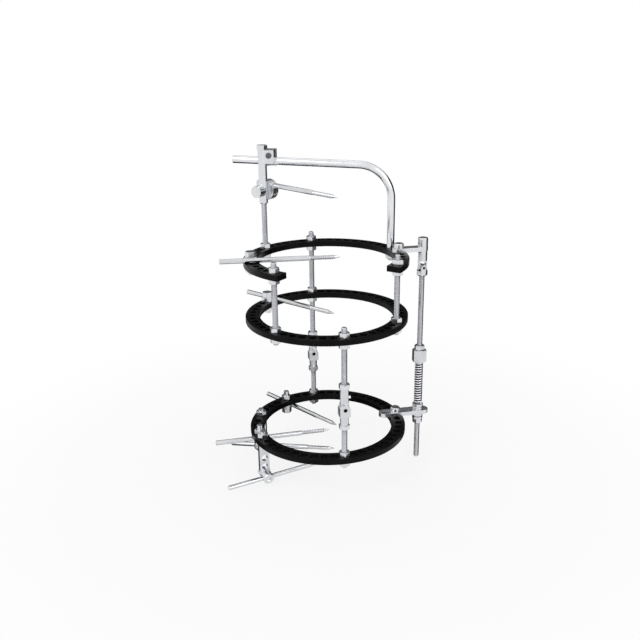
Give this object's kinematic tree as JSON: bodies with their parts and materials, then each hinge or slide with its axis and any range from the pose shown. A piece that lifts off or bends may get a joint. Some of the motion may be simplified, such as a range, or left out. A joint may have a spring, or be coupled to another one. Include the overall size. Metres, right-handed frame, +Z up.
{
  "type": "external ring fixator",
  "caption": "External ring fixator for a limb: black rings on threaded rods, half pins towards the axis, a hinged lower ring and a spring-loaded distractor.",
  "frame": {"origin": "where the hinge axis crosses the common axis of the rings", "axes": "Z up along the limb's axis, Y along the hinge axis with the open side of the top ring at -Y, X towards the distractor"},
  "size_m": [0.2396, 0.1939, 0.352],
  "materials": {
    "ring_black": "satin",
    "pin_steel": "polished",
    "rod_steel": "satin",
    "fastener_steel": "satin",
    "spring_steel": "satin",
    "bar_steel": "polished",
    "part_steel": "satin"
  },
  "bodies": {
    "upper_frame": {"top_ring": "ring_black", "middle_ring": "ring_black", "left_rod": "rod_steel", "right_rod": "rod_steel", "back_rod": "rod_steel", "front_rod": "rod_steel", "upper_nuts": "fastener_steel", "post_rod": "rod_steel", "post_sleeve": "part_steel", "bent_bar": "bar_steel", "bar_clamp_block": "part_steel", "bar_clamp_jaw": "part_steel", "bar_clamp_bolt": "fastener_steel", "bar_clamp_screw": "fastener_steel", "wheel_inner": "part_steel", "wheel_outer": "part_steel", "wheel_bolt": "fastener_steel", "wheel_nut": "fastener_steel", "post_pin": "pin_steel", "top_pin": "pin_steel", "middle_pin": "pin_steel", "upper_pin_washers": "fastener_steel", "upper_pin_bolts": "fastener_steel", "upper_plate": "part_steel", "upper_plate_bolt": "fastener_steel", "joint_cap_nut": "fastener_steel", "joint_upper_yoke": "part_steel", "joint_cross": "part_steel", "front_hinge_upper": "part_steel", "back_hinge_upper": "part_steel", "hinge_set_screws": "fastener_steel"},
    "lower_frame": {"bottom_ring": "ring_black", "front_hinge_lower": "part_steel", "back_hinge_lower": "part_steel", "front_hinge_pin": "part_steel", "back_hinge_pin": "part_steel", "front_lower_rod": "rod_steel", "back_lower_rod": "rod_steel", "lower_nuts": "fastener_steel", "lower_plate": "part_steel", "lower_plate_bolt": "fastener_steel", "ball_seats": "part_steel", "rear_pin": "pin_steel", "side_pin": "pin_steel", "ring_pin_washers": "fastener_steel", "ring_pin_bolts": "fastener_steel", "hanger_pin_washers": "fastener_steel", "hanger_pin_bolts": "fastener_steel", "front_hanger": "part_steel", "rear_hanger": "part_steel", "front_hanger_pin": "pin_steel", "rear_hanger_pin": "pin_steel"},
    "distractor": {"joint_lower_yoke": "part_steel", "joint_pin": "part_steel", "distractor_rod": "rod_steel"},
    "plate_carriage": {"distractor_spring": "spring_steel", "cup_washers": "fastener_steel", "foot_nut": "fastener_steel"},
    "adjuster": {"adjusting_nut": "fastener_steel", "lock_nut": "fastener_steel"}
  },
  "joints": [
    {"name": "angulation", "type": "hinge", "parent": "upper_frame", "child": "lower_frame", "pos_m": [0, 0, 0], "axis": [0, 1, 0], "range_deg": [-7, 7]},
    {"name": "rod_swing", "type": "hinge", "parent": "upper_frame", "child": "distractor", "pos_m": [0.104, 0, 0.1175], "axis": [0, 1, 0], "range_deg": [-2.2, 2.2]},
    {"name": "plate_travel", "type": "slide", "parent": "distractor", "child": "plate_carriage", "axis": [0, 0, -1], "range_m": [-0.013, 0.013]},
    {"name": "adjuster_turn", "type": "hinge", "parent": "plate_carriage", "child": "adjuster", "pos_m": [0.104, 0, 0.017], "axis": [0, 0, 1], "continuous": true}
  ],
  "couplings": [
    {"joint": "rod_swing", "follows": "angulation", "ratio": 0.2984},
    {"joint": "plate_travel", "follows": "angulation", "m_per_rad": 0.10394}
  ]
}
